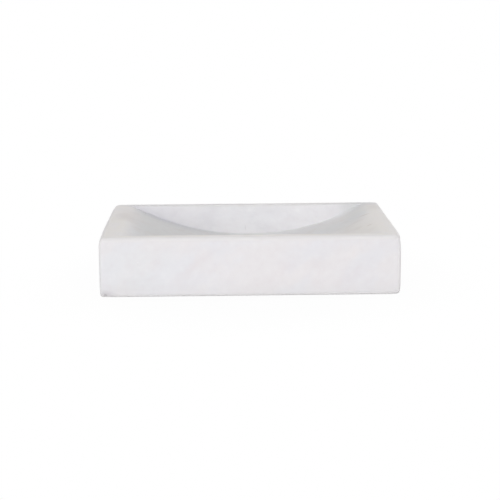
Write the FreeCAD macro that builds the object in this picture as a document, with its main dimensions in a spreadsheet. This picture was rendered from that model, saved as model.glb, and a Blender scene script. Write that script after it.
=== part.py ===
import FreeCAD, Part
import math
import os

import Sketcher

# A soap dish cut from one block of white marble, standing on four stuck-on anti-slip pads.
# Frame: +X to the right, +Y to the back, +Z up. The origin lies on the table under the middle of the dish.

# Driving sizes in millimetres
SIZES = {
    # the block, over its flat faces
    "block_length": 120.0,
    "block_width": 85.0,
    "block_height": 24.2,
    # rounding of the upright and upper outer edges, and of the lower outer edges
    "edge_radius": 1.6,
    "base_edge_radius": 1.2,
    # the trough: an arc from left to right, closed by a wall in front and one at the back
    "left_rim": 8.3,
    "right_rim": 6.9,
    "front_wall": 5.0,
    "back_wall": 5.0,
    "trough_depth": 13.5,
    # rounding where the floor meets the two walls, and round the mouth of the trough
    "crease_radius": 0.6,
    "mouth_radius": 0.7,
    # anti-slip pads, with their centres set in from the outer faces
    "pad_diameter": 10.0,
    "pad_height": 1.2,
    "pad_edge_radius": 0.4,
    "pad_inset_x": 13.0,
    "pad_inset_y": 13.0,
    # adhesive disc between pad and stone, smaller than the pad by a margin all round
    "adhesive_thickness": 0.2,
    "adhesive_margin": 0.4,
}

CORNERS = {
    "front_left": (-1, -1),
    "front_right": (1, -1),
    "back_left": (-1, 1),
    "back_right": (1, 1),
}

# A coordinate counts as equal to a plane's within this much
TOUCH = 1e-4

doc = FreeCAD.newDocument("soap_dish")


# Spreadsheet of the driving sizes

def make_sheet():
    sheet = doc.addObject("Spreadsheet::Sheet", "Sizes")
    for row, (name, value) in enumerate(SIZES.items(), start=1):
        sheet.set(f"A{row}", name)
        sheet.set(f"B{row}", str(value))
        sheet.setAlias(f"B{row}", name)
    doc.recompute()
    return sheet


# Helpers

def make_body(label):
    body = doc.addObject("PartDesign::Body", label)
    body.Label = label
    return body


def make_sketch(body, name, role):
    """A sketch on the body's own origin plane that has this role."""
    sketch = body.newObject("Sketcher::SketchObject", name)
    plane = next(feature for feature in body.Origin.OriginFeatures if feature.Role == role)
    sketch.AttachmentSupport = [(plane, "")]
    sketch.MapMode = "FlatFace"
    return sketch


def bind_constraint(sketch, constraint, name, expression):
    """Add a constraint whose value follows an expression of the sheet."""
    index = sketch.addConstraint(constraint)
    sketch.renameConstraint(index, name)
    sketch.setExpression(f"Constraints.{name}", expression)


def make_fillet(body, name, base, edges, expression):
    """Round the edges of the base feature that pass the test."""
    picked = [f"Edge{i}" for i, edge in enumerate(base.Shape.Edges, start=1) if edges(edge.BoundBox)]
    fillet = body.newObject("PartDesign::Fillet", name)
    fillet.Base = (base, picked)
    fillet.setExpression("Radius", expression)
    doc.recompute()
    return fillet


def add_rectangle(sketch, length, width):
    """A rectangle about the sketch's origin, its sides bound to two expressions."""
    corners = [FreeCAD.Vector(x, y, 0) for x, y in ((-1, -1), (1, -1), (1, 1), (-1, 1))]
    for i in range(4):
        sketch.addGeometry(Part.LineSegment(corners[i], corners[(i + 1) % 4]))
    for i in range(4):
        sketch.addConstraint(Sketcher.Constraint("Coincident", i, 2, (i + 1) % 4, 1))
    for side in (0, 2):
        sketch.addConstraint(Sketcher.Constraint("Horizontal", side))
    for side in (1, 3):
        sketch.addConstraint(Sketcher.Constraint("Vertical", side))
    sketch.addConstraint(Sketcher.Constraint("Symmetric", 0, 1, 1, 2, -1, 1))
    bind_constraint(sketch, Sketcher.Constraint("DistanceX", 0, 1, 0, 2, 2.0), "length", length)
    bind_constraint(sketch, Sketcher.Constraint("DistanceY", 1, 1, 1, 2, 2.0), "width", width)


def add_circle(sketch, diameter):
    """A circle about the sketch's origin, its diameter bound to an expression."""
    sketch.addGeometry(Part.Circle(FreeCAD.Vector(0, 0, 0), FreeCAD.Vector(0, 0, 1), 1.0))
    sketch.addConstraint(Sketcher.Constraint("Coincident", 0, 3, -1, 1))
    bind_constraint(sketch, Sketcher.Constraint("Diameter", 0, 2.0), "diameter", diameter)


# Marble block

def add_trough_section(sketch, sheet):
    """The trough's end view: a chord level with the top of the block and the arc of the floor below it."""
    left = sheet.left_rim - sheet.block_length / 2
    right = sheet.block_length / 2 - sheet.right_rim
    half_chord = (right - left) / 2
    radius = (half_chord ** 2 + sheet.trough_depth ** 2) / (2 * sheet.trough_depth)
    half_angle = math.asin(half_chord / radius)
    centre = FreeCAD.Vector((left + right) / 2, sheet.block_height - sheet.trough_depth + radius, 0)
    top_left = FreeCAD.Vector(left, sheet.block_height, 0)
    top_right = FreeCAD.Vector(right, sheet.block_height, 0)
    lowest = 1.5 * math.pi
    circle = Part.Circle(centre, FreeCAD.Vector(0, 0, 1), radius)
    chord = sketch.addGeometry(Part.LineSegment(top_left, top_right))
    floor = sketch.addGeometry(Part.ArcOfCircle(circle, lowest - half_angle, lowest + half_angle))
    sketch.addConstraint(Sketcher.Constraint("Coincident", chord, 1, floor, 1))
    sketch.addConstraint(Sketcher.Constraint("Coincident", chord, 2, floor, 2))
    sketch.addConstraint(Sketcher.Constraint("Horizontal", chord))
    bind_constraint(
        sketch, Sketcher.Constraint("DistanceX", chord, 1, -1, 1, -left), "left_end",
        "Sizes.block_length / 2 - Sizes.left_rim")
    bind_constraint(
        sketch, Sketcher.Constraint("DistanceX", -1, 1, chord, 2, right), "right_end",
        "Sizes.block_length / 2 - Sizes.right_rim")
    bind_constraint(
        sketch, Sketcher.Constraint("DistanceY", -1, 1, chord, 1, sheet.block_height), "top",
        "Sizes.block_height")
    half_span = "(Sizes.block_length - Sizes.left_rim - Sizes.right_rim) / 2"
    bind_constraint(
        sketch, Sketcher.Constraint("Radius", floor, radius), "floor_radius",
        f"({half_span} * {half_span} + Sizes.trough_depth ^ 2) / (2 * Sizes.trough_depth)")


def make_block(sheet):
    body = make_body("marble_block")
    body.setExpression("Placement.Base.z", "Sizes.pad_height + Sizes.adhesive_thickness")

    outline = make_sketch(body, "block_outline", "XY_Plane")
    add_rectangle(outline, "Sizes.block_length", "Sizes.block_width")
    slab = body.newObject("PartDesign::Pad", "block_slab")
    slab.Profile = outline
    slab.setExpression("Length", "Sizes.block_height")
    doc.recompute()

    def upright_or_upper(box):
        return box.ZMax > sheet.block_height - TOUCH

    def lower(box):
        return box.ZMax < TOUCH

    eased = make_fillet(body, "outer_edges", slab, upright_or_upper, "Sizes.edge_radius")
    eased = make_fillet(body, "base_edges", eased, lower, "Sizes.base_edge_radius")

    section = make_sketch(body, "trough_section", "XZ_Plane")
    add_trough_section(section, sheet)
    trough = body.newObject("PartDesign::Pocket", "trough")
    trough.Profile = section
    trough.SideType = "Two sides"
    trough.setExpression("Length", "Sizes.block_width / 2 - Sizes.back_wall")
    trough.setExpression("Length2", "Sizes.block_width / 2 - Sizes.front_wall")
    doc.recompute()
    if trough.Shape.Volume > eased.Shape.Volume - TOUCH:
        raise RuntimeError("the trough cut nothing from the block")

    front_face = sheet.front_wall - sheet.block_width / 2
    back_face = sheet.block_width / 2 - sheet.back_wall

    def on_wall_face(box):
        level = box.YLength < TOUCH
        return level and (abs(box.YMin - front_face) < TOUCH or abs(box.YMin - back_face) < TOUCH)

    def crease(box):
        return on_wall_face(box) and box.ZMin < sheet.block_height - sheet.crease_radius

    def mouth(box):
        on_top = box.ZMin > sheet.block_height - TOUCH
        within_walls = box.YMin > front_face - TOUCH and box.YMax < back_face + TOUCH
        return on_top and within_walls

    creased = make_fillet(body, "trough_crease", trough, crease, "Sizes.crease_radius")
    rounded = make_fillet(body, "trough_mouth", creased, mouth, "Sizes.mouth_radius")
    body.Tip = rounded
    return body


# Anti-slip pads and their adhesive

def place_under_corner(piece, side, end, height):
    """Centre a piece under one corner of the block, its underside at the given height."""
    piece.setExpression("Placement.Base.x", f"{side} * (Sizes.block_length / 2 - Sizes.pad_inset_x)")
    piece.setExpression("Placement.Base.y", f"{end} * (Sizes.block_width / 2 - Sizes.pad_inset_y)")
    piece.setExpression("Placement.Base.z", height)


def make_pad(corner, side, end):
    """A flat round pad whose lower rim is rounded."""
    body = make_body(f"foot_pad_{corner}")
    outline = make_sketch(body, f"pad_outline_{corner}", "XY_Plane")
    add_circle(outline, "Sizes.pad_diameter")
    disc = body.newObject("PartDesign::Pad", f"pad_disc_{corner}")
    disc.Profile = outline
    disc.setExpression("Length", "Sizes.pad_height")
    doc.recompute()
    rim = make_fillet(body, f"pad_rim_{corner}", disc, lambda box: box.ZMax < TOUCH, "Sizes.pad_edge_radius")
    body.Tip = rim
    place_under_corner(body, side, end, "0")
    return body


def make_adhesive(corner, side, end):
    disc = doc.addObject("Part::Cylinder", f"pad_adhesive_{corner}")
    disc.Label = f"pad_adhesive_{corner}"
    disc.setExpression("Radius", "Sizes.pad_diameter / 2 - Sizes.adhesive_margin")
    disc.setExpression("Height", "Sizes.adhesive_thickness")
    place_under_corner(disc, side, end, "Sizes.pad_height")
    return disc


# Checks and export

def check_document(pieces):
    doc.recompute()
    for item in doc.Objects:
        if "Invalid" in item.State or "Error" in item.State:
            raise RuntimeError(f"{item.Label} did not compute: {item.State}")
    for piece in pieces:
        if piece.Shape.isNull() or not piece.Shape.isValid():
            raise RuntimeError(f"{piece.Label} has no valid shape")


def main():
    sheet = make_sheet()
    pieces = [make_block(sheet)]
    for corner, (side, end) in CORNERS.items():
        pieces.append(make_pad(corner, side, end))
        pieces.append(make_adhesive(corner, side, end))
    check_document(pieces)
    os.makedirs("parts", exist_ok=True)
    for piece in pieces:
        piece.Shape.exportStep(os.path.join("parts", f"{piece.Label}.step"))
        box = piece.Shape.optimalBoundingBox()
        print(
            f"{piece.Label}: {len(piece.Shape.Solids)} solid, volume {piece.Shape.Volume:.1f} mm3,"
            f" x {box.XMin:.2f}..{box.XMax:.2f} y {box.YMin:.2f}..{box.YMax:.2f} z {box.ZMin:.2f}..{box.ZMax:.2f}")


main()
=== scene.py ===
# %% [markdown]
# # A marble soap dish
# The dish is one block of white honed marble with a trough for the soap cut into its top. It stands on four
# small anti-slip pads. The CAD frame already holds every piece at its real size and place. This lesson
# gives the stone its softened edges and its veins, gives the pads and their adhesive a finish, and lights
# the dish like a catalogue photo.

# %% Load the frame
import math
from collections import namedtuple

import bmesh
import bpy
from mathutils import Matrix, Vector, noise


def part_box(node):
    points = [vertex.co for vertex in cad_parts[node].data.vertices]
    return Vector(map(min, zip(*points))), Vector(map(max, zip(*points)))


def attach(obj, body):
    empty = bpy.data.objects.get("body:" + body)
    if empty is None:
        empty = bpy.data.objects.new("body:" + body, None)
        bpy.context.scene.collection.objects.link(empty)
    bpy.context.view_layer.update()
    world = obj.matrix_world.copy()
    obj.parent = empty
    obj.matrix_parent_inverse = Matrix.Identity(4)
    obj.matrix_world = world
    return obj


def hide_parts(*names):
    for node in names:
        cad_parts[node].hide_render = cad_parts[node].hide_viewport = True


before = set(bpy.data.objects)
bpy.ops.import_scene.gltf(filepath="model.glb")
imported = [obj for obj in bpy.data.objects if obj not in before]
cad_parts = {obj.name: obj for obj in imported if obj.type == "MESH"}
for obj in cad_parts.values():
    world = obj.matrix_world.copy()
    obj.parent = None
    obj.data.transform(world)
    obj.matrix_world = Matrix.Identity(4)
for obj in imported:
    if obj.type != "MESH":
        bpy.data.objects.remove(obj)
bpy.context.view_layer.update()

MM = 0.001
scene = bpy.context.scene


def in_mm(place):
    """Coordinates in millimetres, rounded for printing."""
    return [round(value / MM, 2) for value in place]


block_low, block_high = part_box("marble_block")
print("block from", in_mm(block_low), "to", in_mm(block_high), "mm")

# %% [markdown]
# ## The trough, by spinning an edge
# A mason cuts this trough with a wide round tool that passes straight from front to back and stops short of
# both faces. So its floor is part of a cylinder. A boolean with a cylinder would give that shape too, but
# it leaves messy faces that can't be rounded well. Spinning one row of edges gives clean strips of quads
# instead. Three spins follow one another: the soft lip on the left, the floor, and the soft lip on the
# right. Each starts from the last edges of the spin before it.

# %% Sizes of the trough
LEFT_RIM = 8.3 * MM
RIGHT_RIM = 6.9 * MM
END_WALL = 5.0 * MM
TROUGH_DEPTH = 13.5 * MM
LIP_RADIUS = 8.0 * MM

top = block_high.z
base = block_low.z
front_wall_y = block_low.y + END_WALL
back_wall_y = block_high.y - END_WALL
left_end = block_low.x + LEFT_RIM
right_end = block_high.x - RIGHT_RIM

half_chord = (right_end - left_end) / 2
trough_x = (left_end + right_end) / 2
floor_radius = (half_chord ** 2 + TROUGH_DEPTH ** 2) / (2 * TROUGH_DEPTH)
axis_height = floor_radius - TROUGH_DEPTH
lip_reach = math.sqrt((floor_radius + LIP_RADIUS) ** 2 - (axis_height + LIP_RADIUS) ** 2)
lip_turn = math.atan2(lip_reach, axis_height + LIP_RADIUS)
print("floor radius", round(floor_radius / MM, 1), "mm, lips", round(lip_reach / MM, 1), "mm from the middle")


def floor_height(x):
    """Height of the trough's floor at x, or the top of the block beside the trough."""
    across = abs(x - trough_x)
    if across < lip_reach:
        return min(top, top + axis_height - math.sqrt(floor_radius ** 2 - across ** 2))
    return top


# %% Spin the trough
CREASE = 0.5 * MM
CREASE_LOOP = 3.0 * MM
STATION_STEP = 12 * MM
LIP_STEPS = 5
FLOOR_STEPS = 26


def spin_on(bm, geom, centre_x, centre_z, angle, steps):
    """Spin vertices and edges about a line along Y and return the last ones."""
    result = bmesh.ops.spin(
        bm, geom=geom, cent=(centre_x, 0, centre_z), axis=(0, 1, 0), angle=angle, steps=steps,
        use_merge=False, use_normal_flip=False, use_duplicate=False)
    return [item for item in result["geom_last"] if not isinstance(item, bmesh.types.BMFace)]


def start_row(bm, x, z, stations):
    """A straight row of edges along Y."""
    verts = [bm.verts.new((x, y, z)) for y in stations]
    edges = [bm.edges.new(pair) for pair in zip(verts, verts[1:])]
    return verts + edges


floor_stations = [front_wall_y, front_wall_y + CREASE]
floor_stations += [count * STATION_STEP for count in range(-2, 3)]
floor_stations += [back_wall_y - CREASE_LOOP, back_wall_y - CREASE, back_wall_y]
bm = bmesh.new()
row = start_row(bm, trough_x - lip_reach, top, floor_stations)
row = spin_on(bm, row, trough_x - lip_reach, top - LIP_RADIUS, lip_turn, LIP_STEPS)
row = spin_on(bm, row, trough_x, top + axis_height, -2 * lip_turn, FLOOR_STEPS)
spin_on(bm, row, trough_x + lip_reach, top - LIP_RADIUS, lip_turn, LIP_STEPS)
print("trough floor:", len(bm.faces), "quads")

# %% [markdown]
# ## End walls, rims and sides, by extruding the border
# The rest of the block grows out of the trough's border. The front and back edges rise in three steps to
# the top of the end walls. The short steps next to the floor and next to the top are support loops: the
# subdivision that comes later rounds a corner only as far as the nearest loop. Then the whole border grows
# outwards over the rims, down the sides and is closed by a grid underneath.

# %% Raise the end walls
MOUTH = 0.6 * MM
NEAR = 0.001 * MM


def border_edges(bm):
    return [edge for edge in bm.edges if edge.is_boundary]


def extrude_edges(bm, edges):
    """Extrude edges in place and return the new vertices."""
    result = bmesh.ops.extrude_edge_only(bm, edges=edges)
    return [item for item in result["geom"] if isinstance(item, bmesh.types.BMVert)]


def on_plane_y(edge, y):
    return all(abs(vert.co.y - y) < NEAR for vert in edge.verts)


def above_crease(z):
    return z + min(CREASE, (top - z) / 3)


def below_mouth(z):
    return top - min(MOUTH, (top - z) / 2)


def at_top(z):
    return top


def raise_wall(bm, y):
    """Lift the border at one end of the floor to the top in three steps, smaller where the wall is low."""
    edges = [edge for edge in border_edges(bm) if on_plane_y(edge, y)]
    for height in (above_crease, below_mouth, at_top):
        verts = set(extrude_edges(bm, edges))
        for vert in verts:
            vert.co.z = height(vert.co.z)
        edges = [edge for edge in border_edges(bm) if verts.issuperset(edge.verts)]


for wall_y in (front_wall_y, back_wall_y):
    raise_wall(bm, wall_y)
bmesh.ops.remove_doubles(bm, verts=bm.verts, dist=NEAR)
print("with end walls:", len(bm.faces), "faces")

# %% Grow the rims and the sides
EDGE = 1.6 * MM
BASE_EDGE = 1.4 * MM
SUPPORT = 0.5 * MM
SIDE_LOOPS = (7.5 * MM, 12.5 * MM, 17.5 * MM)


def grow_border(bm, inset, z):
    """Extrude the whole border to a rectangle set in from the block's outer faces, at height z."""
    edges = border_edges(bm)
    xs = [vert.co.x for edge in edges for vert in edge.verts]
    ys = [vert.co.y for edge in edges for vert in edge.verts]
    sides = ((min(xs), block_low.x + inset), (max(xs), block_high.x - inset))
    ends = ((min(ys), block_low.y + inset), (max(ys), block_high.y - inset))
    for vert in extrude_edges(bm, edges):
        for old, new in sides:
            if abs(vert.co.x - old) < NEAR:
                vert.co.x = new
        for old, new in ends:
            if abs(vert.co.y - old) < NEAR:
                vert.co.y = new
        vert.co.z = z


rim_outer = EDGE + SUPPORT
for inset in (END_WALL - MOUTH, rim_outer, 0):
    grow_border(bm, inset, top)
side_levels = [top - rim_outer]
side_levels += [top - depth for depth in SIDE_LOOPS]
side_levels += [base + BASE_EDGE + SUPPORT, base]
for level in side_levels:
    grow_border(bm, 0, level)
print("with rims and sides:", len(bm.faces), "faces")

# %% Close the underside
under_edges = border_edges(bm)
front_row = [edge for edge in under_edges if on_plane_y(edge, block_low.y)]
back_row = [edge for edge in under_edges if on_plane_y(edge, block_high.y)]
bmesh.ops.grid_fill(bm, edges=front_row + back_row)
bmesh.ops.recalc_face_normals(bm, faces=bm.faces)
print("block cage:", len(bm.faces), "faces,", len(border_edges(bm)), "open edges")

# %% [markdown]
# ## Softened edges
# Sawn stone is rubbed down by hand, so no edge is sharp. Subdivision alone would round the edges too, but
# only by as much as the loops beside them happen to allow. So a bevel of a few segments first sets the size
# of each rounding, and two levels of subdivision then make it smooth. The upright and upper edges are
# rounder than those underneath.

# %% Bevel the edges
BEVEL_SEGMENTS = 3
SQUARE = math.radians(80)


def is_outer(vert):
    """Whether a vertex lies on one of the block's four upright faces."""
    sides = (block_low.x, block_high.x)
    ends = (block_low.y, block_high.y)
    return any(abs(vert.co.x - x) < NEAR for x in sides) or any(abs(vert.co.y - y) < NEAR for y in ends)


def square_edges(bm, test):
    """Edges between two faces that meet at about a right angle, if both their vertices pass the test."""
    return [edge for edge in bm.edges if edge.calc_face_angle(0) > SQUARE and all(map(test, edge.verts))]


def upper_edges(bm):
    """The upright and upper outer edges: all the square ones except those that lie on the foot."""
    def leaves_foot(edge):
        return max(vert.co.z for vert in edge.verts) > base + NEAR
    return [edge for edge in square_edges(bm, is_outer) if leaves_foot(edge)]


def foot_edges(bm):
    """The lower outer edges, with those round the corners that the first bevel has made."""
    return square_edges(bm, lambda vert: vert.co.z < base + NEAR)


def bevel_edges(bm, edges, width):
    bmesh.ops.bevel(
        bm, geom=edges, offset=width, offset_type="OFFSET", affect="EDGES", segments=BEVEL_SEGMENTS,
        profile=0.5, material=-1, clamp_overlap=True)


bevel_edges(bm, upper_edges(bm), EDGE)
bevel_edges(bm, foot_edges(bm), BASE_EDGE)
print("bevelled cage:", len(bm.faces), "faces")

# %% Subdivide
SUBDIVISION = 2


def object_from(bm, name):
    """Turn a bmesh into an object of the scene."""
    mesh = bpy.data.meshes.new(name)
    bm.to_mesh(mesh)
    bm.free()
    piece = bpy.data.objects.new(name, mesh)
    scene.collection.objects.link(piece)
    return piece


def apply_modifiers(piece):
    """Make what the modifiers show the piece's own mesh."""
    depsgraph = bpy.context.evaluated_depsgraph_get()
    mesh = bpy.data.meshes.new_from_object(piece.evaluated_get(depsgraph))
    piece.modifiers.clear()
    piece.data = mesh
    mesh.shade_smooth()


stone = object_from(bm, "stone_block")
smoother = stone.modifiers.new("rubbed_edges", "SUBSURF")
smoother.levels = SUBDIVISION
smoother.render_levels = SUBDIVISION
apply_modifiers(stone)
print("stone:", len(stone.data.polygons), "faces")

# %% [markdown]
# ## Hand finishing
# The real block isn't perfect. Its faces wave a little where they were rubbed down, and three of its upper
# corners and one at the foot are worn back. The crease at the back wall is rough towards both ends, with
# some stone left standing on the right, and a small piece has broken off the front left corner underneath.
# A bump in the material would only pretend all this. Moving vertices with a soft falloff does what a
# sculpting brush would do by hand.

# %% Ways to wear stone
WAVE_DEPTH = 0.1 * MM
WAVE_LENGTH = 16 * MM
UNDERSIDE_LEAN = -0.5
ROUGH_DEPTH = 0.5 * MM
ROUGH_LENGTH = 5 * MM
ROUGH_REACH = 2.5 * MM
ROUGH_START = 30 * MM
UNCUT_X = 47 * MM
UNCUT_REACH = 10 * MM
UNCUT_DEPTH = 0.8 * MM


def soften(bm, centre, reach, push):
    """Move the vertices round a point by the push vector, with a soft falloff."""
    for vert in bm.verts:
        distance = (vert.co - centre).length
        if distance < reach:
            vert.co += push * (1 - distance / reach) ** 2


def wave(bm):
    """Let the faces rise and fall slightly, but keep the underside flat for the pads."""
    bm.normal_update()
    for vert in bm.verts:
        if vert.normal.z > UNDERSIDE_LEAN:
            vert.co -= vert.normal * WAVE_DEPTH * (1 + noise.noise(vert.co / WAVE_LENGTH)) / 2


def roughen_crease(bm):
    """Roughen the crease at the back wall towards its ends, and leave stone standing on the right."""
    for vert in bm.verts:
        rise = vert.co.z - floor_height(vert.co.x)
        distance = math.hypot(vert.co.y - back_wall_y, rise)
        if distance < ROUGH_REACH:
            bump = ROUGH_DEPTH * noise.noise(Vector((vert.co.x / ROUGH_LENGTH, 0, 0)))
            bump *= min(1.0, abs(vert.co.x) / ROUGH_START)
            uncut = UNCUT_DEPTH * max(0.0, 1 - abs(vert.co.x - UNCUT_X) / UNCUT_REACH)
            vert.co.z = min(top, vert.co.z + (bump + uncut) * (1 - distance / ROUGH_REACH))


# %% Wear the stone
back_left = Vector((block_low.x, block_high.y, top))
front_left = Vector((block_low.x, block_low.y, top))
front_right = Vector((block_high.x, block_low.y, top))
foot_right = Vector((block_high.x, block_low.y, base))

# corner, then in mm: offset of the worn place from it, its reach, and the push at its middle
WORN_PLACES = [
    (back_left, (0, 0, 0), 15, (0.8, 0, 0)),
    (front_left, (0, 0, 1.5), 6, (1.2, 0.5, -0.6)),
    (front_left, (0, 5, 1.5), 8, (0.8, 0, -0.2)),
    (front_left, (0, 13, 1), 10, (0.4, 0, -0.1)),
    (front_right, (0, 0, 0), 8, (-0.8, 0.3, -0.5)),
    (foot_right, (0, 0, 0), 6, (-0.3, 0.1, 0.3)),
]
CHIP_PLACE = Vector((block_low.x + 2.3 * MM, block_low.y, base + 0.8 * MM))
CHIP_REACH = 4.5 * MM
CHIP_CUTS = 2
CHIP_PUSH = Vector((0.1, 0.35, 0.1)) * MM
PIT_REACH = 1.3 * MM
PIT_PUSH = Vector((0.1, 0.9, 0.1)) * MM


def chip_stone(bm):
    """Break a small pit with a worn rim out of the lower edge at the front left corner."""
    def is_near(vert):
        return (vert.co - CHIP_PLACE).length < CHIP_REACH
    near = [edge for edge in bm.edges if all(map(is_near, edge.verts))]
    bmesh.ops.subdivide_edges(bm, edges=near, cuts=CHIP_CUTS, use_grid_fill=True)
    soften(bm, CHIP_PLACE, CHIP_REACH, CHIP_PUSH)
    soften(bm, CHIP_PLACE, PIT_REACH, PIT_PUSH)


bm = bmesh.new()
bm.from_mesh(stone.data)
wave(bm)
for corner, offset, reach, push in WORN_PLACES:
    soften(bm, corner + Vector(offset) * MM, reach * MM, Vector(push) * MM)
roughen_crease(bm)
chip_stone(bm)
bm.to_mesh(stone.data)
bm.free()
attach(stone, "root")
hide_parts("marble_block")
print("worn stone:", len(stone.data.polygons), "faces,", len(WORN_PLACES), "worn places and a chip")

# %% [markdown]
# ## Helpers for materials
# A material is a graph of nodes. A few short helpers keep the graphs readable: they add a node and fill or
# link its inputs, mix two colours, do a sum, or make noise of a given size. Colours are written as they
# look on a screen and turned into linear light.

# %% Material helpers
FINE_DETAIL = 3.0
SOFT_DETAIL = 2.0


def screen_colour(red, green, blue):
    """Linear colour, with alpha, from screen values of 0 to 255, by the sRGB curve."""
    def linear(value):
        value /= 255
        return value / 12.92 if value <= 0.04045 else ((value + 0.055) / 1.055) ** 2.4
    return (linear(red), linear(green), linear(blue), 1.0)


def fill_input(tree, socket, value):
    """Link a socket to an input, or write a plain value into it."""
    if isinstance(value, bpy.types.NodeSocket):
        tree.links.new(value, socket)
    else:
        socket.default_value = value


def add_node(tree, kind, inputs=None, **settings):
    """Add a node, set its properties, and fill each named input with a value or a link."""
    node = tree.nodes.new(kind)
    for name, value in settings.items():
        setattr(node, name, value)
    for name, value in (inputs or {}).items():
        fill_input(tree, node.inputs[name], value)
    return node


def mix_colours(tree, factor, first, second):
    """Mix two colours, each a value or a socket. On a Mix node they are inputs 6 and 7."""
    return add_node(tree, "ShaderNodeMix", {0: factor, 6: first, 7: second}, data_type="RGBA").outputs[2]


def calculate(tree, operation, first, second):
    return add_node(tree, "ShaderNodeMath", {0: first, 1: second}, operation=operation).outputs[0]


def multiply(tree, first, second):
    return calculate(tree, "MULTIPLY", first, second)


def vector_length(tree, vector):
    return add_node(tree, "ShaderNodeVectorMath", {0: vector}, operation="LENGTH").outputs["Value"]


def object_coordinates(tree):
    return add_node(tree, "ShaderNodeTexCoord").outputs["Object"]


def attribute(tree, name):
    return add_node(tree, "ShaderNodeAttribute", attribute_name=name).outputs["Fac"]


def noise_value(tree, vector, size, detail=FINE_DETAIL):
    """Soft noise whose blotches are about as wide as the given size."""
    node = add_node(tree, "ShaderNodeTexNoise", {"Vector": vector, "Scale": 1 / size, "Detail": detail})
    return node.outputs["Fac"]


def set_range(tree, value, low, high, to_low=0.0, to_high=1.0):
    """Bring a value from one range to another, with soft ends."""
    node = add_node(
        tree, "ShaderNodeMapRange",
        {"Value": value, "From Min": low, "From Max": high, "To Min": to_low, "To Max": to_high},
        interpolation_type="SMOOTHSTEP")
    return node.outputs["Result"]


def new_material(name):
    """A new material, its node tree and its shader."""
    material = bpy.data.materials.new(name)
    material.use_nodes = True
    return material, material.node_tree, material.node_tree.nodes["Principled BSDF"]


# %% [markdown]
# ## Where the stone was ground, and where light and shade are painted
# The faces of the block are honed to a soft sheen. The floor of the trough is only ground, so it is a
# little greyer and shows no sheen. Painted shade darkens it towards the back wall, and the rounded mouth of
# both end walls. The top faces get a painted warm tint of the light from above, the roundings of the outer
# edges painted shade, and the rounding of the foot painted light. A texture alone can't know where these
# places are. Four numbers on every vertex, each between 0 and 1, tell the material.

# %% Mark the floor and the rims
GROUND_FADE = 3.2 * MM
BACK_SHADE_REACH = 12.0 * MM
BACK_SHADE_SHARE = 0.4
BACK_SHADE_END = 20.0 * MM
WALL_SHARE = 0.1
WALL_LEAN = 0.6
MOUTH_SHADE_SHARE = 0.6
TOP_TINT_DEPTH = 2.2 * MM
BACK_SHARE = 0.3


def ground_and_shade_share(vert):
    """Up to 1 on the floor next to the back wall, less at the front, on the lips and on the walls."""
    place = vert.co
    if not front_wall_y - 2 * WAVE_DEPTH < place.y < back_wall_y + 2 * WAVE_DEPTH:
        return 0.0
    # On the walls, the larger share at the rounded mouth is painted shade.
    if vert.normal.z < WALL_LEAN:
        return MOUTH_SHADE_SHARE if top - place.z < MOUTH else WALL_SHARE
    # The film term is painted shade: it deepens the grey towards the back wall, on the left and middle.
    film = math.exp((place.y - back_wall_y) / BACK_SHADE_REACH) * min(1.0, max(0.0, 1 - place.x / BACK_SHADE_END))
    return min(1.0, (top - floor_height(place.x)) / GROUND_FADE) * (1 - BACK_SHADE_SHARE + BACK_SHADE_SHARE * film)


# Where the painted warm tint of the light from above goes on the top faces.
def rim_share(vert):
    """1 on the top of the block, less behind the trough, fading down its edges and into the trough."""
    most = BACK_SHARE if vert.co.y > back_wall_y else 1.0
    return most * max(0.0, 1 - (top - vert.co.z) / TOP_TINT_DEPTH)


# %% Mark the edges and the foot
UPRIGHT_SHARE = 0.3
FOOT_DEPTH = 1.3 * MM
UNDER_SHARE = 0.3
FACES_DOWN = -0.95


# Where painted shade goes on the roundings of the outer edges.
def edge_share(vert):
    """1 along the upper outer edges, less along the upright ones, and 0 on the faces beside them."""
    place = vert.co
    over_trough = front_wall_y < place.y < back_wall_y and abs(place.x - trough_x) < lip_reach
    if over_trough:
        return 0.0
    upright = UPRIGHT_SHARE * min(abs(vert.normal.x), abs(vert.normal.y))
    upper = min(vert.normal.z, vert.normal.xy.length)
    return min(1.0, 2 * max(upright, upper, 0.0))


def foot_share(vert):
    """1 along the foot of the block, where painted light brightens its rounding, and a small share
    underneath.
    """
    if vert.normal.z < FACES_DOWN:
        return UNDER_SHARE
    return max(0.0, 1 - (vert.co.z - base) / FOOT_DEPTH)


SHARES = {"ground": ground_and_shade_share, "rim": rim_share, "edge": edge_share, "foot": foot_share}
for name, share in SHARES.items():
    marks = stone.data.attributes.new(name, "FLOAT", "POINT")
    marks.data.foreach_set("value", [share(vert) for vert in stone.data.vertices])
print("marked:", ", ".join(SHARES))

# %% [markdown]
# ## White marble
# Marble is a mass of small crystals with thin sheets of other minerals pressed into it. Where the sheets
# meet the surface they show as veins, so the veins of neighbouring faces have to line up. That is why
# everything here is a solid 3D texture on Object coordinates. In this stone the veins are only soft shadows
# that climb to the right. Noise that is stretched along the vein direction gives the general cloudiness. A
# few ellipsoids in the stone, most with their outlines bent by noise, give the marks that show in the
# photo.

# %% Soft marks in stone
VEIN_RISE = 38
NO_TURN = (0, 0, 0)

# A layer of marks: the coordinates that it is drawn on, its tone, its strength, and for each mark its centre,
# its half lengths in mm and its turn
Marks = namedtuple("Marks", "places tone strength blots")


def front_point(x, height):
    """A point on the front face, in mm from its middle and from its foot."""
    return Vector((x * MM, block_low.y, base + height * MM))


def wall_point(x, depth):
    """A point on the back wall of the trough, in mm from the middle and from the top."""
    return Vector((x * MM, back_wall_y, top - depth * MM))


def rim_point(x, y):
    """A point level with the top of the block, in mm from its middle."""
    return Vector((x * MM, y * MM, top))


def rising(degrees):
    """Rotation that lifts the X axis by an angle, as the veins do on the front face."""
    return (0, -math.radians(degrees), 0)


def turning(degrees):
    """Rotation about the upright axis."""
    return (0, 0, math.radians(degrees))


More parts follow.
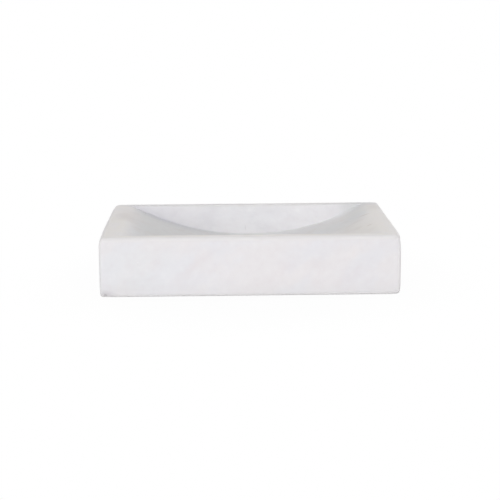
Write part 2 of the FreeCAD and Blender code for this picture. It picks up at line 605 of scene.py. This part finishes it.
def stretched(tree, coordinates, reach, turn, centre=(0, 0, 0)):
    """Coordinates counted from a centre, turned, and measured in three lengths in mm."""
    node = add_node(
        tree, "ShaderNodeMapping",
        {"Vector": coordinates, "Location": centre, "Rotation": turn, "Scale": Vector(reach) * MM},
        vector_type="TEXTURE")
    return node.outputs[0]


def streaky_noise(tree, coordinates, reach, turn, detail=FINE_DETAIL):
    """Noise whose blotches are drawn out to three lengths in mm."""
    return noise_value(tree, stretched(tree, coordinates, reach, turn), 1.0, detail)


def blot(tree, coordinates, centre, reach, turn):
    """1 at the centre of an ellipsoid, given by its half lengths in mm, fading to 0 at its edge."""
    distance = vector_length(tree, stretched(tree, coordinates, reach, turn, centre))
    return set_range(tree, distance, 0.0, 1.0, 1.0, 0.0)


def lay_marks(tree, places, colour, layers):
    """Lay layers of soft marks over a colour."""
    for layer in layers:
        for centre, reach, turn in layer.blots:
            mask = multiply(tree, blot(tree, places[layer.places], centre, reach, turn), layer.strength)
            colour = mix_colours(tree, mask, colour, layer.tone)
    return colour


# %% Straight and wandering coordinates
BEND_SIZE = 9 * MM
BEND = 7 * MM
LITTLE_BEND_SIZE = 6 * MM
LITTLE_BEND = 1 * MM
MIDDLE_GREY = (0.5, 0.5, 0.5)


def bent(tree, coordinates, size, amount):
    """Coordinates pushed about by noise, so that outlines drawn on them wander."""
    shift = add_node(
        tree, "ShaderNodeTexNoise", {"Vector": coordinates, "Scale": 1 / size, "Detail": FINE_DETAIL})
    centred = add_node(
        tree, "ShaderNodeVectorMath", {0: shift.outputs["Color"], 1: MIDDLE_GREY}, operation="SUBTRACT")
    scaled = add_node(
        tree, "ShaderNodeVectorMath", {0: centred.outputs[0], "Scale": amount}, operation="SCALE")
    moved = add_node(tree, "ShaderNodeVectorMath", {0: coordinates, 1: scaled.outputs[0]}, operation="ADD")
    return moved.outputs[0]


def make_places(tree):
    """The coordinates that marks are drawn on, by name."""
    straight = object_coordinates(tree)
    return {
        "straight": straight,
        "wandering": bent(tree, straight, BEND_SIZE, BEND),
        "wandering_little": bent(tree, straight, LITTLE_BEND_SIZE, LITTLE_BEND),
    }


# %% [markdown]
# ### Veins
# The white of the stone is never one white. It turns from lilac to warm in soft clouds, and faint mauve
# streaks and a few grey and pink veins run through it. All of them are mixed in at low strength, because
# strong veins on so pale a stone look printed on.

# %% Tones of the veins
LILAC_WHITE = screen_colour(237, 236, 240)
COOL_WHITE = screen_colour(236, 237, 240)
WARM_WHITE = screen_colour(239, 236, 238)
LAVENDER_WHITE = screen_colour(236, 236, 239)
# Lavender grey for veins and patches, and painted shade on the back wall and the floor.
LAVENDER_VEIN_AND_SHADE_GREY = screen_colour(218, 217, 222)
SPECK_WHITE = screen_colour(250, 250, 251)
MAUVE_SHADE = screen_colour(228, 220, 223)
GREY_SHADE = screen_colour(224, 226, 230)
PINK_LIGHT = screen_colour(246, 240, 240)
# A dark tone for a small mark on the back wall, and painted shade in the chip's pit.
DARK_MARK_AND_PIT_SHADE = screen_colour(150, 146, 150)
WALL_MIDDLE = wall_point(0, 4)

PALE_AREAS = [
    Marks("straight", COOL_WHITE, 0.7, [
        (front_point(-45, 12), (30, 12, 16), NO_TURN),
    ]),
    Marks("straight", LAVENDER_WHITE, 0.9, [
        (WALL_MIDDLE, (75, 5, 20), NO_TURN),
    ]),
    Marks("straight", WARM_WHITE, 0.5, [
        (front_point(2, 13), (26, 12, 13), rising(20)),
        (front_point(38, 18), (12, 12, 6), rising(34)),
    ]),
]
VEINS = [
    Marks("wandering", GREY_SHADE, 0.25, [
        (front_point(-45, 5), (15, 10, 8), rising(10)),
    ]),
    Marks("wandering", LAVENDER_VEIN_AND_SHADE_GREY, 0.24, [
        (wall_point(-41, 4), (7, 8, 3), rising(-30)),
        (wall_point(-40, 4), (5, 8, 2), rising(-30)),
        (wall_point(-32, 4), (5, 8, 1.6), rising(45)),
        (wall_point(-17, 6), (8, 8, 5), rising(60)),
        (wall_point(-18, 5), (14, 8, 12), rising(50)),
        (wall_point(3, 6), (7, 6, 2), rising(70)),
        # painted shade along the top of the middle of the back wall
        (wall_point(5, 2), (24, 8, 6), NO_TURN),
    ]),
    Marks("straight", DARK_MARK_AND_PIT_SHADE, 0.2, [
        (wall_point(-0.6, 10.6), (0.5, 3, 1.8), NO_TURN),
    ]),
    Marks("wandering", MAUVE_SHADE, 0.22, [
        (front_point(-37, 13.5), (5, 9, 4), rising(VEIN_RISE)),
        (front_point(-26, 9), (11, 9, 4), rising(VEIN_RISE)),
        (front_point(-19, 15), (15, 9, 3.5), rising(VEIN_RISE)),
        (front_point(12, 10.5), (15, 9, 4.5), rising(33)),
        (front_point(27.5, 13.5), (5, 9, 4), rising(VEIN_RISE)),
        (front_point(41, 8.5), (13, 9, 5), rising(42)),
    ]),
    Marks("wandering", PINK_LIGHT, 0.25, [
        (front_point(-5.5, 17.5), (11, 10, 3), rising(18)),
        (front_point(40, 18), (7, 10, 3), rising(34)),
    ]),
    Marks("straight", SPECK_WHITE, 0.6, [
        (front_point(-44.4, 14.2), (0.7, 1.0, 0.5), rising(-30)),
    ]),
]
print("vein marks:", sum(len(layer.blots) for layer in PALE_AREAS + VEINS))

# %% Veins and clouds
CLOUD_REACH = (24, 11, 11)
CLOUD_RANGE = (0.35, 0.65)
STREAK_REACH = (26, 5, 5)
STREAK_RANGE = (0.5, 0.75)
STREAK_SHARE = 0.12


def lay_veins(tree, places, streaks):
    """The white of the stone, with its clouds, streaks and veins."""
    clouds = streaky_noise(tree, places["wandering"], CLOUD_REACH, rising(VEIN_RISE), SOFT_DETAIL)
    colour = mix_colours(tree, set_range(tree, clouds, *CLOUD_RANGE), LILAC_WHITE, WARM_WHITE)
    colour = lay_marks(tree, places, colour, PALE_AREAS)
    streak_share = set_range(tree, streaks, *STREAK_RANGE, 0.0, STREAK_SHARE)
    colour = mix_colours(tree, streak_share, colour, MAUVE_SHADE)
    return lay_marks(tree, places, colour, VEINS)


# %% [markdown]
# ### Crystals
# Seen close, the stone is a mass of crystals, some clear and some cloudy, which gives it a fine mottling.
# One noise makes both: the stone is darkened where the noise is high and lightened where it is low, so its
# mean tone stays. The back wall of the trough was cut across the crystals and shows larger patches.

# %% Crystals and patches
CRYSTAL_MAUVE = screen_colour(226, 219, 223)
CRYSTAL_SIZE = 2.6 * MM
CRYSTAL_SHARE = 0.14
PATCH_REACH = (5, 9, 8)
PATCH_RISE = 70
PATCH_SHARE = 0.35
WALL_REACH = (90, 5, 30)
LOW_NOISE = (0.25, 0.5)
HIGH_NOISE = (0.5, 0.75)


def mottle(tree, colour, field, share, dark, light):
    """Darken a colour by a share where a noise field is high, and lighten it where the field is low."""
    darker = multiply(tree, set_range(tree, field, *HIGH_NOISE), share)
    colour = mix_colours(tree, darker, colour, dark)
    lighter = multiply(tree, set_range(tree, field, *LOW_NOISE, 1.0, 0.0), share)
    return mix_colours(tree, lighter, colour, light)


def lay_crystals(tree, places, colour):
    """Fine crystals everywhere and larger patches on the back wall of the trough."""
    crystals = noise_value(tree, places["straight"], CRYSTAL_SIZE, SOFT_DETAIL)
    colour = mottle(tree, colour, crystals, CRYSTAL_SHARE, CRYSTAL_MAUVE, SPECK_WHITE)
    on_wall = blot(tree, places["straight"], WALL_MIDDLE, WALL_REACH, NO_TURN)
    patches = streaky_noise(tree, places["wandering_little"], PATCH_REACH, rising(PATCH_RISE))
    return mottle(tree, colour, patches, multiply(tree, on_wall, PATCH_SHARE), LAVENDER_VEIN_AND_SHADE_GREY, SPECK_WHITE)


# %% [markdown]
# ### Soap, painted light and painted shade
# The top faces get a painted warm tint of the light from above, in streaks that run from front to back.
# Old soap has left the ground floor grey and mottled, mauve at the left lip and beige at the right. Painted
# shade darkens the floor, the lips and the ends of the back wall, and most of all the crease at the back
# wall on the left. Painted light brightens the right side of the floor towards the front. The vertex
# numbers say where each tone belongs, and noise breaks it up so that no border shows.

# %% Painted top light and edge shade
# A painted warm tint of the light from above, on the top faces and as painted light on the right lip.
TOP_LIGHT_BEIGE = screen_colour(237, 234, 231)
# Painted shade for the roundings of the outer edges.
EDGE_SHADE_GREY = screen_colour(228, 226, 227)
TINT_STREAK_REACH = (4, 18, 4)
TINT_STREAK_RANGE = (0.3, 0.7)
TINT_STREAK_SHARES = (0.5, 1.0)


def lay_top_light_and_edge_shade(tree, places, colour):
    """Painted warm light on the top faces, in streaks, and painted shade on the rounded outer edges."""
    tint_streaks = streaky_noise(tree, places["wandering"], TINT_STREAK_REACH, NO_TURN)
    top_light_tint = multiply(tree, attribute(tree, "rim"), set_range(tree, tint_streaks, *TINT_STREAK_RANGE, *TINT_STREAK_SHARES))
    colour = mix_colours(tree, top_light_tint, colour, TOP_LIGHT_BEIGE)
    return mix_colours(tree, attribute(tree, "edge"), colour, EDGE_SHADE_GREY)


# %% Soap stains, painted light and painted shade
# The grey of the ground floor, and painted shade where its share grows towards the back wall.
GROUND_AND_SHADE_GREY = screen_colour(218, 219, 219)
FLOOR_BEIGE = screen_colour(221, 214, 207)
LIP_MAUVE_AND_SHADE = screen_colour(217, 212, 212)
TIP_SHADOW_GREY = screen_colour(198, 199, 200)
BROWN_STREAK = screen_colour(190, 176, 164)

SOAP_STAINS_LIGHT_AND_SHADE = [
    Marks("wandering", FLOOR_BEIGE, 0.35, [
        (rim_point(42, -20), (10, 16, 8), NO_TURN),
    ]),
    # mauve on the lips, part stain and part painted shade towards the back wall
    Marks("wandering", LIP_MAUVE_AND_SHADE, 0.4, [
        (rim_point(-50, 20), (8, 24, 6), NO_TURN),
        (rim_point(-52.5, 10), (9, 10, 6), NO_TURN),
        (rim_point(-50.5, 4), (8, 9, 6), NO_TURN),
        (rim_point(56, 30), (6, 14, 5), NO_TURN),
    ]),
    # painted light on the right side of the floor and its lip, towards the front
    Marks("wandering_little", TOP_LIGHT_BEIGE, 0.9, [
        (rim_point(50, -22), (9, 20, 8), NO_TURN),
        (rim_point(45, -8), (30, 22, 16), turning(57)),
    ]),
    # painted shade on the ends of the back wall
    Marks("straight", LAVENDER_VEIN_AND_SHADE_GREY, 0.45, [
        (wall_point(-40, 6), (30, 6, 14), NO_TURN),
        (wall_point(54, 1), (28, 6, 14), NO_TURN),
        (wall_point(48.5, 2), (9, 9, 8), NO_TURN),
        (wall_point(-50, 1), (8, 6, 5), NO_TURN),
    ]),
    # painted shade on the floor: on the right lip towards the back wall, and on the left
    Marks("straight", GROUND_AND_SHADE_GREY, 0.85, [
        (rim_point(47.5, 29), (10, 28, 8), NO_TURN),
        (rim_point(-36, 2), (16, 26, 12), NO_TURN),
    ]),
]
# painted shadow on the back wall's right tip, over the painted shade of the floor
TIP_SHADOWS = [
    Marks("straight", TIP_SHADOW_GREY, 0.32, [
        (rim_point(49.5, 39), (9, 10, 7), NO_TURN),
    ]),
]
RIM_STREAKS = [
    Marks("wandering_little", BROWN_STREAK, 0.5, [
        (rim_point(50, 14), (5, 1.4, 5), turning(-33)),
        (rim_point(50.4, -10.7), (1.9, 1.1, 5), turning(-12)),
    ]),
]
# Counts the stains and the painted light and shade above.
print("soap stains:", sum(len(layer.blots) for layer in SOAP_STAINS_LIGHT_AND_SHADE + TIP_SHADOWS + RIM_STREAKS))

# %% The crease line
CREASE_FLOOR = 9.0 * MM
CREASE_WALL = 1.0 * MM
CREASE_BACK = (-0.8 * MM, -0.4 * MM)
CREASE_BEGIN = (-54 * MM, -38 * MM)
CREASE_BEGIN_SHARE = 0.2
CREASE_FADE = (-46 * MM, 6 * MM)


def crease_line(tree, coordinates):
    """1 in the crease at the back wall on the left, fading out over floor and wall and to the right."""
    from_axis = add_node(
        tree, "ShaderNodeMapping",
        {"Vector": coordinates, "Location": (-trough_x, 0, -top - axis_height), "Scale": (1, 0, 1)})
    rise = calculate(tree, "SUBTRACT", floor_radius, vector_length(tree, from_axis.outputs[0]))
    parts = add_node(tree, "ShaderNodeSeparateXYZ", {0: coordinates}).outputs
    ahead = calculate(tree, "SUBTRACT", back_wall_y, parts["Y"])
    spread = add_node(
        tree, "ShaderNodeCombineXYZ",
        {0: calculate(tree, "DIVIDE", ahead, CREASE_FLOOR), 1: calculate(tree, "DIVIDE", rise, CREASE_WALL)})
    near = set_range(tree, vector_length(tree, spread.outputs[0]), 0.0, 1.0, 1.0, 0.0)
    within = set_range(tree, ahead, *CREASE_BACK)
    begin = set_range(tree, parts["X"], *CREASE_BEGIN, CREASE_BEGIN_SHARE, 1.0)
    fade = set_range(tree, parts["X"], *CREASE_FADE, 1.0, 0.0)
    return multiply(tree, near, multiply(tree, multiply(tree, fade, begin), within))


# %% Old soap on the floor, with painted light and shade
SOAP_BROWN = screen_colour(212, 204, 200)
# Painted shade for the crease at the back wall.
CREASE_SHADE_NAVY = screen_colour(196, 196, 206)
FILM_RANGE = (0.45, 0.75)
FILM_CLOUD_SHARE = 0.35
SPOT_REACH = (5, 9, 5)
SPOT_RANGE = (0.48, 0.7)
SPOT_SHARE = 0.3
CREASE_STRENGTH = 0.42


def lay_soap_light_and_shade(tree, places, colour, streaks):
    """The grey of the ground floor, its stains, film and spots, and painted light and shade on it."""
    floor = attribute(tree, "ground")
    # The ground grey, deepened by painted shade towards the back wall and at the walls' mouths.
    colour = mix_colours(tree, floor, colour, GROUND_AND_SHADE_GREY)
    colour = lay_marks(tree, places, colour, SOAP_STAINS_LIGHT_AND_SHADE)
    film = multiply(tree, floor, set_range(tree, streaks, *FILM_RANGE, 0.0, FILM_CLOUD_SHARE))
    colour = mix_colours(tree, film, colour, LAVENDER_VEIN_AND_SHADE_GREY)
    spots = streaky_noise(tree, places["wandering"], SPOT_REACH, NO_TURN)
    spot_share = multiply(tree, floor, set_range(tree, spots, *SPOT_RANGE, 0.0, SPOT_SHARE))
    colour = mix_colours(tree, spot_share, colour, SOAP_BROWN)
    colour = lay_marks(tree, places, colour, TIP_SHADOWS)
    # Painted shade in the crease at the back wall, mostly on the left.
    crease = multiply(tree, crease_line(tree, places["wandering_little"]), CREASE_STRENGTH)
    colour = mix_colours(tree, crease, colour, CREASE_SHADE_NAVY)
    return lay_marks(tree, places, colour, RIM_STREAKS)


# %% [markdown]
# ### Foot, chip and sheen
# Painted shade makes the lower part of the sides a little darker, and painted light brightens the rounding
# of the foot. The chip's worn rim and its pit get painted shade. The sheen of honed stone is broad and weak,
# so the roughness is high, with a fine grain in it, and higher still on the ground floor.

# %% Foot and chip
# Painted shade that darkens the sides towards the bottom.
LOW_SHADE_HEIGHT = 9.0 * MM
LOW_SHADE_SHARE = 0.25
LOW_SHADE_GREY = screen_colour(220, 219, 220)
# Painted light for the rounding of the foot.
PAINTED_FOOT_LIGHT = screen_colour(252, 250, 249)
# Painted shade on the worn rim of the chip.
CHIP_SHADE_GREY = screen_colour(210, 207, 211)

CHIP_SHADE_MARKS = [
    Marks("wandering_little", CHIP_SHADE_GREY, 0.6, [
        (CHIP_PLACE + Vector((1.2, 0, 0.8)) * MM, (4.6, 3, 2.0), rising(-8)),
    ]),
    Marks("straight", DARK_MARK_AND_PIT_SHADE, 1.0, [
        (CHIP_PLACE, (1.0, 2.0, 0.9), NO_TURN),
    ]),
]


def lay_foot_light_and_shade(tree, places, colour):
    """Painted shade on the lower part and in the chip, and painted light on the rounding of the foot."""
    height = add_node(tree, "ShaderNodeSeparateXYZ", {0: places["straight"]}).outputs["Z"]
    low_shade = set_range(tree, height, base, base + LOW_SHADE_HEIGHT, LOW_SHADE_SHARE, 0.0)
    colour = mix_colours(tree, low_shade, colour, LOW_SHADE_GREY)
    colour = mix_colours(tree, attribute(tree, "foot"), colour, PAINTED_FOOT_LIGHT)
    return lay_marks(tree, places, colour, CHIP_SHADE_MARKS)


# %% Marble material
GRAIN_SIZE = 1.1 * MM
GRAIN_RANGE = (0.3, 0.7)
GRAIN_STRENGTH = 0.08
GRAIN_DEPTH = 0.05 * MM
HONED_ROUGHNESS = (0.5, 0.6)
GROUND_ROUGHNESS = 0.35
MARBLE_IOR = 1.49
MARBLE_SPECULAR = 0.3


def set_sheen(tree, shader, coordinates):
    """Roughness and grain of honed stone, rougher where the floor was ground."""
    grain = noise_value(tree, coordinates, GRAIN_SIZE, SOFT_DETAIL)
    honed = set_range(tree, grain, *GRAIN_RANGE, *HONED_ROUGHNESS)
    ground = multiply(tree, attribute(tree, "ground"), GROUND_ROUGHNESS)
    tree.links.new(calculate(tree, "ADD", honed, ground), shader.inputs["Roughness"])
    bump = add_node(
        tree, "ShaderNodeBump", {"Height": grain, "Strength": GRAIN_STRENGTH, "Distance": GRAIN_DEPTH})
    tree.links.new(bump.outputs["Normal"], shader.inputs["Normal"])
    shader.inputs["IOR"].default_value = MARBLE_IOR
    shader.inputs["Specular IOR Level"].default_value = MARBLE_SPECULAR


def make_marble():
    material, tree, shader = new_material("honed_marble")
    places = make_places(tree)
    streaks = streaky_noise(tree, places["wandering"], STREAK_REACH, rising(VEIN_RISE))
    colour = lay_veins(tree, places, streaks)
    colour = lay_crystals(tree, places, colour)
    colour = lay_top_light_and_edge_shade(tree, places, colour)
    colour = lay_soap_light_and_shade(tree, places, colour, streaks)
    colour = lay_foot_light_and_shade(tree, places, colour)
    tree.links.new(colour, shader.inputs["Base Color"])
    set_sheen(tree, shader, places["straight"])
    print("marble:", len(tree.nodes), "nodes")
    return material


stone.data.materials.clear()
stone.data.materials.append(make_marble())

# %% [markdown]
# ## Anti-slip pads
# The pads are round and moulded from milky silicone rubber, each with a shallow dish in its underside that
# helps it grip. A cylinder with a bevelled rim and an inset dish would do, but an outline spun all the way
# round, as on a lathe, keeps every radius in one list. The adhesive discs keep their CAD shape, because a
# plain thin disc is all that they are, and only get a finish.

# %% Pad shape
PAD_RIM = 0.4 * MM
PAD_DISH = 0.15 * MM
PAD_TURNS = 48
# where the dish stops being flat and where it ends, as shares of the pad's radius
DISH_FLAT = 0.5
DISH_END = 0.62
# how far the middle of the rounded rim lies in from its corner, as a share of the rounding
ROUND_MIDDLE = 0.3


def make_pad(corner):
    low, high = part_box(f"foot_pad_{corner}")
    centre = (low + high) / 2
    radius = (high.x - low.x) / 2
    outline = [
        (0, low.z + PAD_DISH),
        (DISH_FLAT * radius, low.z + PAD_DISH),
        (DISH_END * radius, low.z),
        (radius - PAD_RIM, low.z),
        (radius - ROUND_MIDDLE * PAD_RIM, low.z + ROUND_MIDDLE * PAD_RIM),
        (radius, low.z + PAD_RIM),
        (radius, high.z),
        (0, high.z),
    ]
    bm = bmesh.new()
    verts = [bm.verts.new((centre.x + reach, centre.y, height)) for reach, height in outline]
    edges = [bm.edges.new(pair) for pair in zip(verts, verts[1:])]
    bmesh.ops.spin(
        bm, geom=verts + edges, cent=centre, axis=(0, 0, 1), angle=2 * math.pi, steps=PAD_TURNS,
        use_merge=True)
    bmesh.ops.remove_doubles(bm, verts=bm.verts, dist=NEAR)
    bmesh.ops.recalc_face_normals(bm, faces=bm.faces)
    pad = object_from(bm, f"pad_{corner}")
    pad.data.shade_smooth()
    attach(pad, "root")
    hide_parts(f"foot_pad_{corner}")
    return pad


# %% Pads and adhesive
CORNERS = ("front_left", "front_right", "back_left", "back_right")
SILICONE_MILK = screen_colour(214, 214, 212)
SILICONE_DUST = screen_colour(203, 202, 199)
SILICONE_ROUGHNESS = (0.45, 0.6)
DUST_SIZE = 1.5 * MM
DUST_RANGE = (0.4, 0.7)
ADHESIVE_CREAM = screen_colour(232, 230, 222)
ADHESIVE_TAN = screen_colour(222, 219, 208)
ADHESIVE_ROUGHNESS = 0.35
WRINKLE_SIZE = 2.5 * MM


def make_silicone():
    material, tree, shader = new_material("milky_silicone")
    dust = set_range(tree, noise_value(tree, object_coordinates(tree), DUST_SIZE), *DUST_RANGE)
    tree.links.new(mix_colours(tree, dust, SILICONE_MILK, SILICONE_DUST), shader.inputs["Base Color"])
    tree.links.new(set_range(tree, dust, 0.0, 1.0, *SILICONE_ROUGHNESS), shader.inputs["Roughness"])
    return material


def make_adhesive():
    material, tree, shader = new_material("adhesive_film")
    wrinkles = noise_value(tree, object_coordinates(tree), WRINKLE_SIZE, SOFT_DETAIL)
    tree.links.new(mix_colours(tree, wrinkles, ADHESIVE_CREAM, ADHESIVE_TAN), shader.inputs["Base Color"])
    shader.inputs["Roughness"].default_value = ADHESIVE_ROUGHNESS
    return material


silicone = make_silicone()
adhesive = make_adhesive()
for corner in CORNERS:
    make_pad(corner).data.materials.append(silicone)
    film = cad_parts[f"pad_adhesive_{corner}"]
    film.data.materials.clear()
    film.data.materials.append(adhesive)
print("pads:", len(CORNERS))

# %% [markdown]
# ## Floor and light
# The photo is a cut-out on pure white. Lighting a floor until it turns white would wash out the stone. So
# the floor glows white for the camera and for reflections alone, mixed with a little of its real shading
# under the dish, which keeps the shadow. The world, too, is white for these alone. Nine weak softboxes all
# round light the dish as evenly as a light tent. The low one at the back lights the rims but is hidden from
# reflections, so that it draws no glare on them.

# %% White floor and world
FLOOR_SIDE = 3.0
FLOOR_GAP = 0.02 * MM
FLOOR_COLOUR = (0.58, 0.58, 0.58, 1)
FLOOR_SHADING = 0.024
SHADOW_START = 44 * MM
SHADOW_END = 110 * MM
WORLD_STRENGTH = 0.15
WHITE = (1, 1, 1, 1)


def camera_only_white(tree, other, glow_share):
    """White for the camera and for reflections, by the given share, and the other shader otherwise."""
    path = add_node(tree, "ShaderNodeLightPath")
    seen = calculate(tree, "MAXIMUM", path.outputs["Is Camera Ray"], path.outputs["Is Glossy Ray"])
    seen = calculate(tree, "MAXIMUM", seen, path.outputs["Is Transmission Ray"])
    glow = add_node(tree, "ShaderNodeEmission", {"Color": WHITE, "Strength": 1.0})
    factor = multiply(tree, seen, glow_share)
    return add_node(tree, "ShaderNodeMixShader", {0: factor, 1: other, 2: glow.outputs[0]}).outputs[0]


def make_floor():
    bm = bmesh.new()
    bmesh.ops.create_grid(bm, x_segments=1, y_segments=1, size=FLOOR_SIDE / 2)
    bmesh.ops.translate(bm, verts=bm.verts, vec=(0, 0, -FLOOR_GAP))
    floor = object_from(bm, "floor")
    material, tree, shader = new_material("white_floor")
    shader.inputs["Base Color"].default_value = FLOOR_COLOUR
    shader.inputs["Roughness"].default_value = 1.0
    shader.inputs["Specular IOR Level"].default_value = 0.0
    distance = vector_length(tree, object_coordinates(tree))
    glow_share = set_range(tree, distance, SHADOW_START, SHADOW_END, 1 - FLOOR_SHADING, 1.0)
    white = camera_only_white(tree, shader.outputs[0], glow_share)
    tree.links.new(white, tree.nodes["Material Output"].inputs["Surface"])
    floor.data.materials.append(material)


def make_world():
    world = bpy.data.worlds.new("white_studio")
    world.use_nodes = True
    tree = world.node_tree
    fill = tree.nodes["Background"]
    fill.inputs["Color"].default_value = WHITE
    fill.inputs["Strength"].default_value = WORLD_STRENGTH
    white = camera_only_white(tree, fill.outputs[0], 1.0)
    tree.links.new(white, tree.nodes["World Output"].inputs["Surface"])
    scene.world = world


make_floor()
make_world()
print("floor", FLOOR_SIDE, "m wide, world strength", WORLD_STRENGTH)

# %% Softboxes
LAMP_DISTANCE = 1.2
LAMP_SIDE = 0.5
WHITE_LIGHT = (1.0, 1.0, 1.0)
WARM_LIGHT = (1.0, 0.98, 0.95)
NO_GLARE = ("back_low",)

# degrees to the right of the front, degrees up, watts and colour
SOFTBOXES = {
    "front_left": (-40, 9, 4.7, WHITE_LIGHT),
    "front": (0, 17, 2.6, WHITE_LIGHT),
    "front_high": (0, 45, 1.8, WHITE_LIGHT),
    "front_right": (40, 15, 2.5, WHITE_LIGHT),
    "left": (-90, 30, 2.5, WARM_LIGHT),
    "right": (90, 5, 3.7, WARM_LIGHT),
    "back": (150, 35, 2.1, WARM_LIGHT),
    "back_low": (180, 4, 2.6, WHITE_LIGHT),
    "top": (0, 89, 2.3, WHITE_LIGHT),
}


def add_softbox(name, turn, rise, power, colour):
    """A square soft light that faces the dish, turned to the right of the front and raised, in degrees."""
    turn = math.radians(turn)
    rise = math.radians(rise)
    outward = Vector((math.sin(turn) * math.cos(rise), -math.cos(turn) * math.cos(rise), math.sin(rise)))
    data = bpy.data.lights.new(f"{name}_softbox", "AREA")
    data.size = LAMP_SIDE
    data.energy = power
    data.color = colour
    lamp = bpy.data.objects.new(data.name, data)
    lamp.location = outward * LAMP_DISTANCE
    lamp.rotation_euler = (-outward).to_track_quat("-Z", "Y").to_euler()
    lamp.visible_glossy = name not in NO_GLARE
    scene.collection.objects.link(lamp)


for name, settings in SOFTBOXES.items():
    add_softbox(name, *settings)
print("softboxes:", len(SOFTBOXES))

# %% [markdown]
# ## Camera
# The outline of the block in the photo fixes the camera: it looks down by about eleven degrees from a
# little to the left, through a lens of about 97 mm on a sensor 36 mm wide. The Standard view transform
# leaves the colours as they were written.

# %% Camera
CAMERA_TARGET = Vector((0.70, 0, 11.94)) * MM
CAMERA_DISTANCE = 577.4 * MM
CAMERA_DOWN = math.radians(10.98)
CAMERA_TURN = math.radians(1.09)
CAMERA_ROLL = math.radians(-0.40)
LENS = 97.4
SENSOR = 36


def add_camera():
    forward = Vector((
        math.sin(CAMERA_TURN) * math.cos(CAMERA_DOWN), math.cos(CAMERA_TURN) * math.cos(CAMERA_DOWN),
        -math.sin(CAMERA_DOWN)))
    data = bpy.data.cameras.new("camera")
    data.lens = LENS
    data.sensor_width = SENSOR
    camera = bpy.data.objects.new("camera", data)
    upright = forward.to_track_quat("-Z", "Y").to_matrix()
    camera.matrix_world = (
        Matrix.Translation(CAMERA_TARGET - forward * CAMERA_DISTANCE)
        @ (upright @ Matrix.Rotation(CAMERA_ROLL, 3, "Z")).to_4x4())
    scene.collection.objects.link(camera)
    scene.camera = camera
    return camera


print("camera at", in_mm(add_camera().matrix_world.translation), "mm")
scene.view_settings.view_transform = "Standard"
